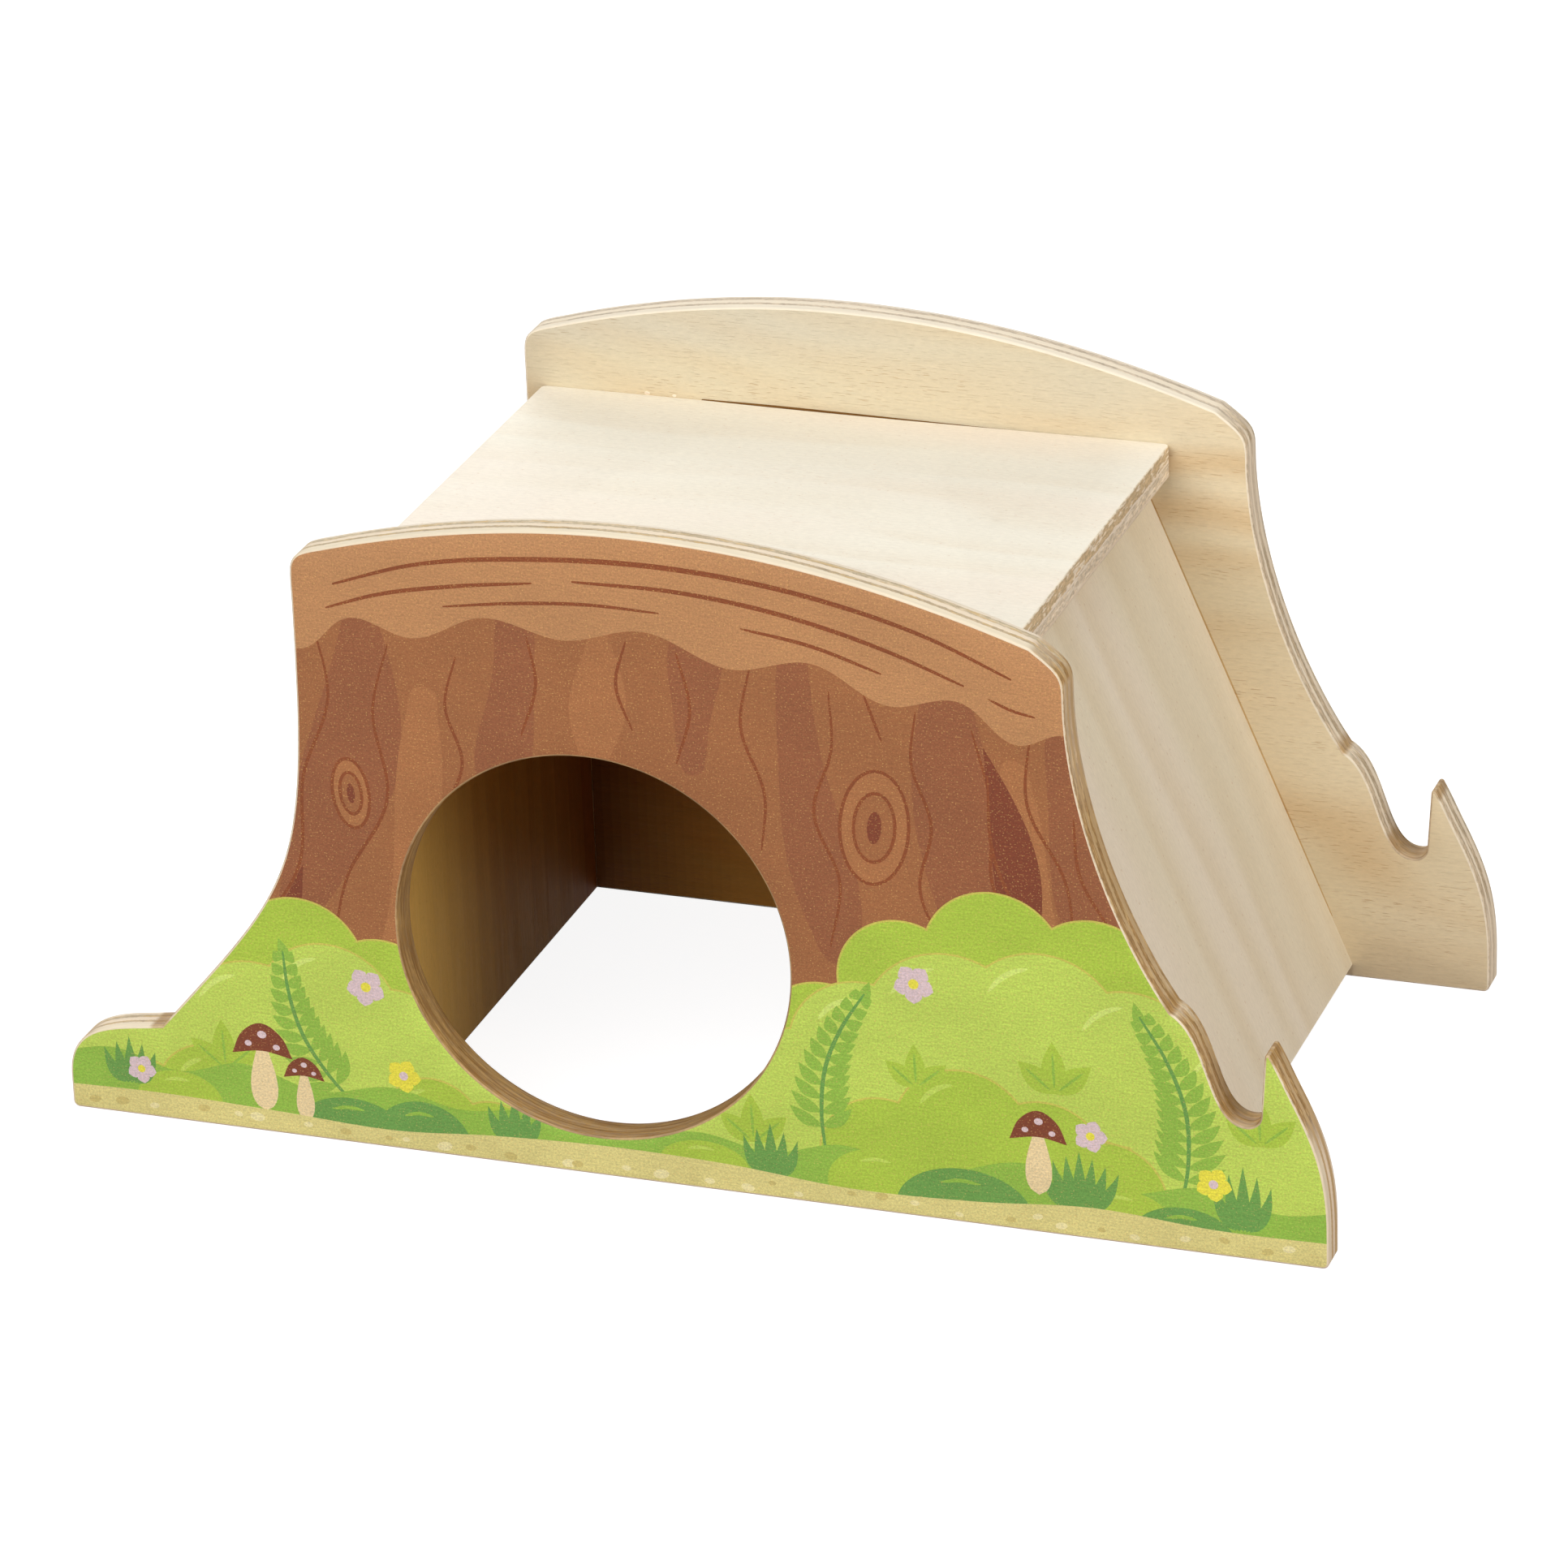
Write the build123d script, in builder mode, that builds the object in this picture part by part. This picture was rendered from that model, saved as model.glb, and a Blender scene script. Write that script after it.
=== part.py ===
from build123d import *
from math import cos, radians, sin, tan
import os

# A small animal hide made of five plywood boards glued together on hidden dowels.
# X runs along the width, Y from the front board (-Y) to the back board (+Y), Z up.
# The origin is on the floor, under the middle of the hide.

# Boards, in millimetres and degrees
ply = 6.0
panel_width = 225.0
panel_height = 117.4
inner_depth = 102.4
roof_recess = 18.9
roof_left_setback = 3.2
roof_right_setback = 13.8
roof_corner_radius = 1.2
roof_overhang = 5.6
right_wall_lean = 23.1

# Entrance hole in the front board
entrance_diameter = 70.0
entrance_sill = 7.3
entrance_jamb = 6.4

# Outline of the front and back boards, a tree stump with a root and grass at its foot
foot_corner_radius = 1.1
toe_side_height = 6.0
toe_height = 17.7
toe_length = 18.0
stump_left_inset = 47.4
left_corner_drop = 12.4
left_side_length = 5.0
crown_start_drop = 8.4
crown_start_step = 2.8
crown_distance = 58.2
stump_right_inset = 43.8
shoulder_drop = 12.3
shoulder_step = 5.6
right_corner_drop = 20.0
bump_inset = 26.6
bump_height = 43.3
notch_inset = 13.8
notch_height = 24.3
notch_corner_radius = 2.4
blade_inset = 10.6
blade_height = 39.2
blade_tip_radius = 0.5
blade_side_height = 6.0

# Directions of the outline where its stretches meet, in degrees from level
upright_angle = 90.0
toe_angle = 10.0
root_angle = 49.0
crown_start_angle = 17.0
crown_end_angle = -19.0
shoulder_angle = -37.0
bump_start_angle = -56.0
bump_end_angle = -28.0
blade_angle = -65.0

# Hidden glued dowels
dowel_diameter = 3.0
dowel_in_face = 3.6
dowel_in_edge = 8.0
dowel_chamfer = 0.4
glue_gap = 0.05
dowel_end_gap = 0.4
roof_dowel_margin = 16.0
roof_dowel_count = 3
wall_dowel_low = 14.0
wall_dowel_high = 14.0
top_dowel_margin = 18.0

# Places worked out from the driving dimensions
left_end = -panel_width / 2
right_end = panel_width / 2
stump_left = left_end + stump_left_inset
stump_right = right_end - stump_right_inset
wall_height = panel_height - roof_recess - ply
roof_middle = wall_height + ply / 2
roof_left = stump_left + roof_left_setback
roof_right = stump_right - roof_right_setback
left_wall_middle = roof_left + ply / 2
entrance_radius = entrance_diameter / 2
entrance_x = roof_left + ply + entrance_jamb + entrance_radius
entrance_z = entrance_sill + entrance_radius
right_wall_top = roof_right - roof_overhang
right_wall_across = ply * cos(radians(right_wall_lean))
right_wall_rise = ply * sin(radians(right_wall_lean))
right_wall_run = (wall_height - right_wall_rise) * tan(radians(right_wall_lean))


def smooth(start, start_angle, end, end_angle, pulls):
    """A smooth stretch of outline that leaves and arrives at the given angles.
    Its pulls are how far it follows each angle, as shares of the straight distance."""
    first = Vector(*start)
    last = Vector(*end)
    span = (last - first).length
    leaving = Vector(cos(radians(start_angle)), sin(radians(start_angle)))
    arriving = Vector(cos(radians(end_angle)), sin(radians(end_angle)))
    near_first = first + leaving * span * pulls[0]
    near_last = last - arriving * span * pulls[1]
    Bezier(first, near_first, near_last, last)


def stump_outline():
    """The outline that the front and back boards share, clockwise from the left foot."""
    foot_left = (left_end, 0)
    toe_side = (left_end, toe_side_height)
    toe_top = (left_end + toe_length, toe_height)
    side_top = (stump_left, panel_height - left_corner_drop)
    flare_top = (stump_left, side_top[1] - left_side_length)
    crown_start = (stump_left + crown_start_step, panel_height - crown_start_drop)
    crown = (stump_left + crown_distance, panel_height)
    shoulder = (stump_right - shoulder_step, panel_height - shoulder_drop)
    shoulder_side = (stump_right, panel_height - right_corner_drop)
    bump = (right_end - bump_inset, bump_height)
    notch = (right_end - notch_inset, notch_height)
    notch_side = (notch[0] + notch_corner_radius, notch_height + notch_corner_radius)
    blade_tip = (right_end - blade_inset, blade_height)
    blade_side = (right_end, blade_side_height)
    foot_right = (right_end, 0)
    Line(foot_left, toe_side)
    smooth(toe_side, upright_angle, toe_top, toe_angle, (0.51, 0.37))
    smooth(toe_top, root_angle, flare_top, upright_angle, (0.46, 0.58))
    Line(flare_top, side_top)
    smooth(side_top, upright_angle, crown_start, crown_start_angle, (0.45, 0.40))
    smooth(crown_start, crown_start_angle, crown, 0, (0.29, 0.36))
    smooth(crown, 0, shoulder, crown_end_angle, (0.35, 0.33))
    smooth(shoulder, shoulder_angle, shoulder_side, -upright_angle, (0.57, 0.39))
    smooth(shoulder_side, -upright_angle, bump, bump_start_angle, (0.34, 0.29))
    smooth(bump, bump_end_angle, notch, 0, (0.34, 0.30))
    TangentArc(notch, notch_side, tangent=(1, 0))
    Line(notch_side, blade_tip)
    smooth(blade_tip, blade_angle, blade_side, -upright_angle, (0.41, 0.43))
    Line(blade_side, foot_right)
    Line(foot_right, foot_left)


def round_corners():
    """Round the corners at both feet and the tip of the grass blade."""
    for x in (left_end, right_end):
        fillet(vertices().sort_by_distance(Vector(x, 0))[0], foot_corner_radius)
    tip = Vector(right_end - blade_inset, blade_height)
    fillet(vertices().sort_by_distance(tip)[0], blade_tip_radius)


def right_wall_corners():
    """Section of the leaning wall: a board with square-cut ends, its foot on the floor."""
    outer_top = (right_wall_top, wall_height)
    inner_top = (right_wall_top - right_wall_across, wall_height - right_wall_rise)
    inner_foot = (inner_top[0] + right_wall_run, 0)
    outer_foot = (inner_foot[0] + right_wall_across, right_wall_rise)
    return [outer_top, inner_top, inner_foot, outer_foot]


def spread(start, end, count):
    """Evenly spaced values from start to end."""
    step = (end - start) / (count - 1)
    return [start + step * number for number in range(count)]


def along_right_wall(height):
    """The place in the middle of the leaning wall's thickness at a height."""
    outer_top, inner_top, inner_foot, outer_foot = right_wall_corners()
    top = ((outer_top[0] + inner_top[0]) / 2, (outer_top[1] + inner_top[1]) / 2)
    return (top[0] + (top[1] - height) * tan(radians(right_wall_lean)), height)


# Places of the dowels that run front to back, as (x, z)
wall_dowel_heights = (wall_dowel_low, wall_height - wall_dowel_high)
roof_dowel_ends = (roof_left + roof_dowel_margin, roof_right - roof_dowel_margin)
roof_dowel_row = spread(*roof_dowel_ends, roof_dowel_count)
roof_dowels = [(x, roof_middle) for x in roof_dowel_row]
left_wall_dowels = [(left_wall_middle, z) for z in wall_dowel_heights]
right_wall_dowels = [along_right_wall(z) for z in wall_dowel_heights]
panel_dowels = roof_dowels + left_wall_dowels + right_wall_dowels

# Places of the upright dowels between the left wall and the roof, as (x, y)
top_dowel_reach = inner_depth / 2 - top_dowel_margin
top_dowels = [(left_wall_middle, y) for y in (-top_dowel_reach, top_dowel_reach)]

# The faces where the boards meet, each looking out of the front or down to the floor
hole_radius = dowel_diameter / 2 + glue_gap
hole_in_face = dowel_in_face + dowel_end_gap
hole_in_edge = dowel_in_edge + dowel_end_gap
front_joint = Plane.XZ.offset(inner_depth / 2)
back_joint = Plane.XZ.offset(-inner_depth / 2)
roof_joint = Plane.XY.offset(wall_height)


def circles(places, radius):
    """Equal circles at the given places of the current sketch."""
    with Locations(*places):
        Circle(radius)


# Front board, with the entrance hole
with BuildPart() as front_panel:
    with BuildSketch(front_joint):
        with BuildLine():
            stump_outline()
        make_face()
        round_corners()
        with Locations((entrance_x, entrance_z)):
            Circle(entrance_radius, mode=Mode.SUBTRACT)
    extrude(amount=ply)
    with BuildSketch(front_joint):
        circles(panel_dowels, hole_radius)
    extrude(amount=hole_in_face, mode=Mode.SUBTRACT)

# Back board, closed
with BuildPart() as back_panel:
    with BuildSketch(back_joint):
        with BuildLine():
            stump_outline()
        make_face()
        round_corners()
    extrude(amount=-ply)
    with BuildSketch(back_joint):
        circles(panel_dowels, hole_radius)
    extrude(amount=-hole_in_face, mode=Mode.SUBTRACT)

# Flat roof between the two stump boards, resting on the left wall and the leaning wall
with BuildPart() as roof_board:
    with BuildSketch(roof_joint):
        with Locations(((roof_left + roof_right) / 2, 0)):
            RectangleRounded(roof_right - roof_left, inner_depth, roof_corner_radius)
    extrude(amount=ply)
    with BuildSketch(front_joint):
        circles(roof_dowels, hole_radius)
    extrude(amount=-hole_in_edge, mode=Mode.SUBTRACT)
    with BuildSketch(back_joint):
        circles(roof_dowels, hole_radius)
    extrude(amount=hole_in_edge, mode=Mode.SUBTRACT)
    with BuildSketch(roof_joint):
        circles(top_dowels, hole_radius)
    extrude(amount=hole_in_face, mode=Mode.SUBTRACT)

# Upright wall under the roof's left edge
with BuildPart() as left_wall:
    with BuildSketch(Plane.XY):
        with Locations((left_wall_middle, 0)):
            Rectangle(ply, inner_depth)
    extrude(amount=wall_height)
    with BuildSketch(front_joint):
        circles(left_wall_dowels, hole_radius)
    extrude(amount=-hole_in_edge, mode=Mode.SUBTRACT)
    with BuildSketch(back_joint):
        circles(left_wall_dowels, hole_radius)
    extrude(amount=hole_in_edge, mode=Mode.SUBTRACT)
    with BuildSketch(roof_joint):
        circles(top_dowels, hole_radius)
    extrude(amount=-hole_in_edge, mode=Mode.SUBTRACT)

# Wall that leans outwards towards its foot, under the roof's right edge
with BuildPart() as right_wall:
    with BuildSketch(front_joint):
        Polygon(*right_wall_corners(), align=None)
    extrude(amount=-inner_depth)
    with BuildSketch(front_joint):
        circles(right_wall_dowels, hole_radius)
    extrude(amount=-hole_in_edge, mode=Mode.SUBTRACT)
    with BuildSketch(back_joint):
        circles(right_wall_dowels, hole_radius)
    extrude(amount=hole_in_edge, mode=Mode.SUBTRACT)


def dowel_group(joint, places, into_face):
    """Equal dowels that cross a joint: into_face is the way from the edge into the face."""
    with BuildPart() as dowels:
        with BuildSketch(joint.offset(into_face * dowel_in_face)):
            circles(places, dowel_diameter / 2)
        extrude(amount=-into_face * (dowel_in_face + dowel_in_edge))
        chamfer(edges().filter_by(GeomType.CIRCLE), dowel_chamfer)
    return dowels.part


pieces = {
    "front_panel": front_panel.part,
    "back_panel": back_panel.part,
    "roof_board": roof_board.part,
    "left_wall": left_wall.part,
    "right_wall": right_wall.part,
    "roof_front_dowels": dowel_group(front_joint, roof_dowels, 1),
    "roof_back_dowels": dowel_group(back_joint, roof_dowels, -1),
    "left_wall_front_dowels": dowel_group(front_joint, left_wall_dowels, 1),
    "left_wall_back_dowels": dowel_group(back_joint, left_wall_dowels, -1),
    "left_wall_top_dowels": dowel_group(roof_joint, top_dowels, 1),
    "right_wall_front_dowels": dowel_group(front_joint, right_wall_dowels, 1),
    "right_wall_back_dowels": dowel_group(back_joint, right_wall_dowels, -1),
}

os.makedirs("parts", exist_ok=True)
for name, piece in pieces.items():
    piece.label = name
    export_step(piece, f"parts/{name}.step")
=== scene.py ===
import random
from collections import namedtuple
from math import ceil, cos, degrees, inf, log, pi, radians, sin, sqrt

import bmesh
import bpy
from mathutils import Matrix, Vector
from mathutils.geometry import delaunay_2d_cdt


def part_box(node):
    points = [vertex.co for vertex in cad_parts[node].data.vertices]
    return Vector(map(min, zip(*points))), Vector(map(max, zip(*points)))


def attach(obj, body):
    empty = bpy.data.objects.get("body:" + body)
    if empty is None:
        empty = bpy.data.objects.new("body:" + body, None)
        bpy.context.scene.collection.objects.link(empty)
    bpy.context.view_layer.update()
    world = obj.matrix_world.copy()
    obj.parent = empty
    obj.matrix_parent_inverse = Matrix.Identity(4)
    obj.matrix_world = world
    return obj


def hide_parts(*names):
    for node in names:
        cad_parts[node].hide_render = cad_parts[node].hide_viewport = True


# A small animal hide of five plywood boards. Boards and artwork are worked out in millimetres
# and turned into metres when their meshes are made.
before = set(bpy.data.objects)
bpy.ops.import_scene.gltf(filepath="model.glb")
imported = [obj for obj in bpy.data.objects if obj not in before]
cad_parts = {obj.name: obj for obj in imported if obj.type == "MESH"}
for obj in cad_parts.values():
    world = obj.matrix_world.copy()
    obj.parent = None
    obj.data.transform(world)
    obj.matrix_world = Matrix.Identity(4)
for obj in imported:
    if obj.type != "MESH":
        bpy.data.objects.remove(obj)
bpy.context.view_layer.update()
mm = 0.001

rightward = Vector((1, 0, 0))
forward = Vector((0, -1, 0))
upward = Vector((0, 0, 1))

# Plywood boards with rounded rims
ply_thickness = 6.0
rim_radius = 0.35
rim_steps = 3

# Outlines read from the frame: where they bend more than corner_turn degrees they are sharp,
# and stretches longer than longest_bend are straight
weld = 1e-6
corner_turn = 12.0
longest_bend = 8.0
bend_step = 1.0

# How far apart the boards lie in the wood that they are cut from, and their numbers there
board_apart = Vector((310.0, 170.0))
front_seed, back_seed, roof_seed, left_seed, right_seed = 1.0, 2.0, 3.0, 4.0, 5.0

# The cutter scorches outlines that turn inwards more than scorch_turn degrees between the
# stretches of scorch_reach before and after a point, and tips that turn outwards more than tip_turn
scorch_reach = 2.2
scorch_turn = 6.6
tip_turn = 100.0
scorch_most = 0.8

# Edges that turn more than this, in degrees, are sharp in the light
sharp_turn = 40.0

# Smaller holes in a node's face, in square millimetres, are for dowels, which fill them
smallest_opening = 200.0

# The seam where the roof bows away from the back board: its ends as shares of the roof's length from
# its right end, its width, how much it leans to one end, and the pieces that draw it
seam_start = 0.03
seam_end = 0.74
seam_gap = 0.55
seam_skew = 1.4
seam_points = 40

# Artwork: the step and width of its lines, a bush's halo, and how far the ground goes below its sheet
art_step = 0.9
line_width = 0.6
halo_width = 0.35
below = -10.0
pebble_count = 34

# The trunk: its middle, half its width above its neck, how far its foot spreads beyond that, the
# neck's height, and how far below it the spread is full
trunk_middle = 2.0
trunk_half = 67.0
trunk_spread = 33.0
trunk_neck = 97.0
trunk_drop = 80.0


def screen(red, green, blue):
    """A shader colour from the red, green and blue values of a screen, 0 to 255."""
    values = [value / 255 for value in (red, green, blue)]
    linear = [v / 12.92 if v < 0.04045 else ((v + 0.055) / 1.055) ** 2.4 for v in values]
    return (*linear, 1.0)


def screens(*colours):
    return [screen(*colour) for colour in colours]


def add_object(name, data):
    made = bpy.data.objects.new(name, data)
    bpy.context.scene.collection.objects.link(made)
    return made


# Lines

def turned(line):
    """A closed line's points from the second on, with the first one last."""
    return line[1:] + line[:1]


def corners(line):
    """(point before, point, point after) for each point of a closed line."""
    return zip(line[-1:] + line[:-1], line, turned(line))


def signed_area(line):
    """The area that a closed line encloses, negative if it runs clockwise."""
    return sum(a.x * b.y - b.x * a.y for a, b in zip(line, turned(line))) / 2


def extent(line):
    """(low, high) corners of the box round a line."""
    return [Vector((pick(p.x for p in line), pick(p.y for p in line))) for pick in (min, max)]


def left_of(way):
    """The unit vector to the left of a way."""
    return Vector((-way.y, way.x)).normalized()


def curve(start, way_out, end, way_in, steps):
    """The points of a cubic curve between two points with the ways there, without its end."""
    length = (end - start).length
    pull_out, pull_in = way_out * length, way_in * length
    made = []
    for step in range(steps):
        t = step / steps
        squared, cubed = t * t, t * t * t
        made.append(start * (2 * cubed - 3 * squared + 1) + pull_out * (cubed - 2 * squared + t)
                    + end * (3 * squared - 2 * cubed) + pull_in * (cubed - squared))
    return made


def closed_lines(following):
    """The closed lines that a table of each point's next one makes."""
    lines = []
    while following:
        here = next(iter(following))
        line = []
        while here in following:
            line.append(here)
            here = following.pop(here)
        lines.append(line)
    return lines


def mean_direction(before, here, after):
    """The direction of a smooth line at one of its points."""
    arriving, leaving = here - before, after - here
    return (arriving.normalized() * leaving.length + leaving.normalized() * arriving.length).normalized()


def tangents_at(before, here, after, sharp=corner_turn):
    """(direction of arrival, direction of departure) of a board's outline at one of its points."""
    arriving, leaving = here - before, after - here
    near, far = arriving.length, leaving.length
    arriving, leaving = arriving.normalized(), leaving.normalized()
    if degrees(arriving.angle(leaving)) > sharp:
        return arriving, leaving
    if near > longest_bend:
        return arriving, arriving
    if far > longest_bend:
        return leaving, leaving
    mean = mean_direction(before, here, after)
    return mean, mean


def rounder(line):
    """The same closed outline with more points where it bends, none of them outside its box."""
    low, high = extent(line)
    tangents = [tangents_at(*corner) for corner in corners(line)]
    made = []
    for start, end, here, there in zip(line, turned(line), tangents, turned(tangents)):
        length = (end - start).length
        steps = 1 if length > longest_bend else ceil(length / bend_step)
        made += curve(start, here[1], end, there[0], steps)
    return [Vector((min(max(p.x, low.x), high.x), min(max(p.y, low.y), high.y))) for p in made]


def inset(line, distance):
    """The closed line moved into the board by a distance, with mitred corners."""
    made = []
    for before, here, after in corners(line):
        first, second = left_of(here - before), left_of(after - here)
        made.append(here + (first + second) * (distance / (1 + first.dot(second))))
    return made


def cad_outlines(node, facing, grain):
    """The closed lines round the node's flat face that looks along facing, outer line first.
    Points are in millimetres, x along the grain and y across it, with the board on the left."""
    across = facing.cross(grain)
    solid = bmesh.new()
    solid.from_mesh(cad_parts[node].data)
    bmesh.ops.remove_doubles(solid, verts=solid.verts, dist=weld)
    solid.normal_update()
    level = max(vertex.co.dot(facing) for vertex in solid.verts)
    flat = [face for face in solid.faces if face.normal.dot(facing) > 0.999
            and abs(face.calc_center_median().dot(facing) - level) < 10 * weld]
    following = {}
    for face in flat:
        for loop in face.loops:
            if not any(other in flat for other in loop.edge.link_faces if other != face):
                following[loop.vert] = loop.link_loop_next.vert
    lines = [[Vector((vertex.co.dot(grain), vertex.co.dot(across))) / mm for vertex in line]
             for line in closed_lines(following)]
    solid.free()
    return sorted(lines, key=signed_area, reverse=True)


# Board meshes

def triangulate(lines, inks):
    """Triangles that fill the first closed line less the others, cut along the inks' outlines.
    Returns the points, the triangles and each triangle's topmost ink or None."""
    shapes = [line if signed_area(line) > 0 else line[::-1] for line in lines + [s for _, s in inks]]
    places, faces = [], []
    for shape in shapes:
        faces.append(list(range(len(places), len(places) + len(shape))))
        places.extend(shape)
    points, _, triangles, _, _, owners = delaunay_2d_cdt(places, [], faces, 0, 1e-4)
    kept, colours = [], []
    for triangle, owner in zip(triangles, owners):
        if 0 not in owner or any(number in owner for number in range(1, len(lines))):
            continue
        top = max(owner)
        kept.append(triangle)
        colours.append(inks[top - len(lines)][0] if top >= len(lines) else None)
    return points, kept, colours


def rims(triangles):
    """The closed lines of point numbers round a set of triangles."""
    pairs = {(t[i], t[(i + 1) % 3]) for t in triangles for i in range(3)}
    return closed_lines({start: end for start, end in sorted(pairs) if (end, start) not in pairs})


def nearest_on(line, point):
    """(squared distance of a point from a closed line, the line's piece, the share along it)."""
    best = (inf, 0, 0.0)
    for i, (start, end) in enumerate(zip(line, turned(line))):
        span = end - start
        share = min(1.0, max(0.0, (point - start).dot(span) / span.length_squared))
        gap = (start + span * share - point).length_squared
        if gap < best[0]:
            best = (gap, i, share)
    return best


def scorches(line):
    """How much the cutter scorched a closed outline at each of its points: most in tight hollows."""
    count = len(line)
    made = []
    for i, here in enumerate(line):
        ends = []
        for step in (-1, 1):
            reach, at = 0.0, i
            while reach < scorch_reach:
                reach += (line[(at + step) % count] - line[at]).length
                at = (at + step) % count
            ends.append(line[at])
        turn = degrees((here - ends[0]).angle_signed(ends[1] - here))
        hollow = min(scorch_most, max(0.0, (turn - scorch_turn) / scorch_turn))
        made.append(scorch_most if turn < -tip_turn else hollow)
    return made


def key(point):
    return round(point.x, 3), round(point.y, 3)


class Board:
    """A flat plywood board in the place of a node, with slightly rounded rims."""

    def __init__(self, node, facing, grain):
        self.node = node
        self.facing = facing
        self.grain = grain
        self.across = facing.cross(grain)
        levels = [vertex.co.dot(facing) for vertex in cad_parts[node].data.vertices]
        self.level = max(levels) / mm
        self.thickness = self.level - min(levels) / mm
        lines = cad_outlines(node, facing, grain)
        self.lines = [rounder(line) for line in lines if abs(signed_area(line)) > smallest_opening]

    def place(self, point, depth):
        """The place in the room of a point of the outline at a depth below the outer face."""
        flat = self.grain * point.x + self.across * point.y
        return (flat + self.facing * (self.level - depth)) * mm

    def make(self, seed, materials, inks=(), rim_ink=None):
        """Makes the board's object. Inks on the outer face stain the wood, or cover it with a
        second material, and one more stains the rims."""
        self.spots = []     # [point, depth, scorching]
        self.polygons = []  # (spots, ink, outline's direction at each corner)
        inner = [inset(line, rim_radius) for line in self.lines]
        points, triangles, colours = triangulate(inner, list(inks))
        front = self.add_face(points, triangles, colours, 0.0, {})
        rings = rims(triangles)
        outer = {number: self.on_outline(inner, points[number]) for ring in rings for number in ring}

        turns = [pi / 2 * step / rim_steps for step in range(rim_steps + 1)]
        rounded = [(1 - sin(turn), rim_radius * (1 - cos(turn))) for turn in turns]
        profile = rounded + [(share, self.thickness - depth) for share, depth in reversed(rounded)]
        known = {}
        for ring in rings:
            line = [points[n] for n in ring]
            burns = [1.0] * len(line) if signed_area(line) < 0 else scorches(line)
            ways = [tangents_at(*corner, sharp_turn) for corner in corners(line)]
            rows = [[front[n] for n in ring]]
            for share, depth in profile[1:]:
                rows.append([self.add(outer[n].lerp(points[n], share), depth) for n in ring])
            for row in rows:
                for spot, burn in zip(row, burns):
                    self.spots[spot][2] = burn
            for upper, lower in zip(rows, rows[1:]):
                for i, j in enumerate(turned([*range(len(line))])):
                    start, end = ways[i][1], ways[j][0]
                    spots = [upper[j], upper[i], lower[i], lower[j]]
                    self.polygons.append((spots, rim_ink, [end, start, start, end]))
            known.update((key(points[n]), spot) for n, spot in zip(ring, rows[-1]))

        edges = sorted(([points[n] for n in ring] for ring in rings), key=signed_area, reverse=True)
        points, triangles, colours = triangulate(edges, [])
        triangles = [triangle[::-1] for triangle in triangles]
        self.add_face(points, triangles, colours, self.thickness, known)
        return self.finish(seed, materials)

    def add(self, point, depth):
        self.spots.append([point, depth, 0.0])
        return len(self.spots) - 1

    def add_face(self, points, triangles, colours, depth, known):
        """Adds a flat face, on points that are known from before or new. Returns their numbers."""
        numbers = {}
        for number in sorted({number for triangle in triangles for number in triangle}):
            point = points[number]
            numbers[number] = known[key(point)] if key(point) in known else self.add(point, depth)
        for triangle, colour in zip(triangles, colours):
            self.polygons.append(([numbers[n] for n in triangle], colour, [rightward.xy] * 3))
        return numbers

    def on_outline(self, inner, point):
        """The outline's point that a point of the inset outlines comes from."""
        found = [(*nearest_on(line, point), number) for number, line in enumerate(inner)]
        _, piece, share, number = min(found)
        line = self.lines[number]
        return line[piece].lerp(line[(piece + 1) % len(line)], share)

    def finish(self, seed, materials):
        mesh = bpy.data.meshes.new(self.node + "_wood")
        places = [self.place(point, depth) for point, depth, _ in self.spots]
        mesh.from_pydata(places, [], [spots for spots, *_ in self.polygons])
        for material in materials:
            mesh.materials.append(material)
        wood, cut, ink, smooth = [], [], [], []
        for point, depth, _ in self.spots:
            wood += (point.x + board_apart.x * seed, point.y + board_apart.y * seed, depth)
        for face, (_, shade, ways) in zip(mesh.polygons, self.polygons):
            out_face = face.normal.dot(self.facing) ** 2
            for way in ways:
                cut += (way.y ** 2 * (1 - out_face), way.x ** 2 * (1 - out_face), out_face)
            ink += (shade or (1.0, 1.0, 1.0, 1.0)) * len(ways)
            smooth.append(out_face < 0.99)
        burnt = [scorch for *_, scorch in self.spots]
        slots = [0 if shade is None else len(materials) - 1 for _, shade, _ in self.polygons]
        mesh.attributes.new("wood", "FLOAT_VECTOR", "POINT").data.foreach_set("vector", wood)
        mesh.attributes.new("cut", "FLOAT_VECTOR", "CORNER").data.foreach_set("vector", cut)
        mesh.attributes.new("ink", "FLOAT_COLOR", "CORNER").data.foreach_set("color", ink)
        mesh.attributes.new("burnt", "FLOAT", "POINT").data.foreach_set("value", burnt)
        mesh.polygons.foreach_set("material_index", slots)
        mesh.polygons.foreach_set("use_smooth", smooth)
        mesh.set_sharp_from_angle(angle=radians(sharp_turn))
        made = add_object(self.node + "_board", mesh)
        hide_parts(self.node)
        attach(made, "root")
        return made


def open_seam(board):
    """Bows the roof's back edge away from the back board, between two shares of its length."""
    line = board.lines[0]
    count = len(line)
    longest = max(range(count), key=lambda i: (line[i].y + line[(i + 1) % count].y, line[i].x))
    start, end = line[longest], line[(longest + 1) % count]
    bowed = []
    for number in range(1, seam_points):
        share = number / seam_points
        inside = min(1.0, max(0.0, (share - seam_start) / (seam_end - seam_start)))
        bow = seam_gap * sin(pi * inside ** seam_skew) ** 0.8
        bowed.append(start.lerp(end, share) - Vector((0, bow)))
    line[longest + 1:longest + 1] = bowed


# Shapes of the artwork, closed lines in millimetres

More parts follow.
